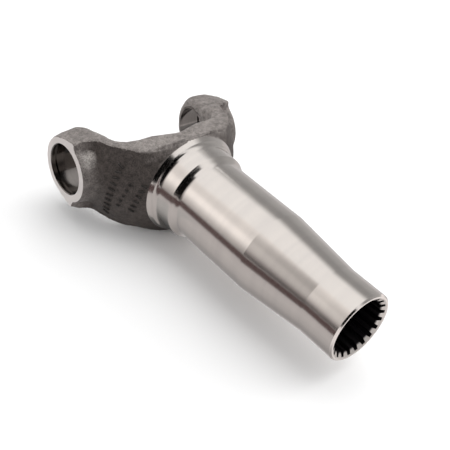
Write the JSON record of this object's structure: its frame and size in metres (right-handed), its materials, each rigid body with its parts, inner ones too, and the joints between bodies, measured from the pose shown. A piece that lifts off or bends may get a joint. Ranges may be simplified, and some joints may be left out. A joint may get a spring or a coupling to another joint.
{
  "type": "forged yoke",
  "caption": "Forged slip yoke with two bored ears for a universal joint cross, a turned hub and a long sleeve with a splined bore.",
  "frame": {"origin": "centre of the joint cross: on the axis of the two ear bores, midway between the ears", "axes": "+X along the sleeve axis towards the open splined end, +Y along the ear bores, +Z square to both"},
  "size_m": [0.2037, 0.1138, 0.0636],
  "materials": {
    "yoke_steel": "dark forged skin, with turned and bored faces in bright satin steel",
    "plug_steel": "pressed sheet steel, satin"
  },
  "bodies": {
    "root": {"forged_yoke": "yoke_steel", "bore_plug": "plug_steel"}
  },
  "joints": []
}
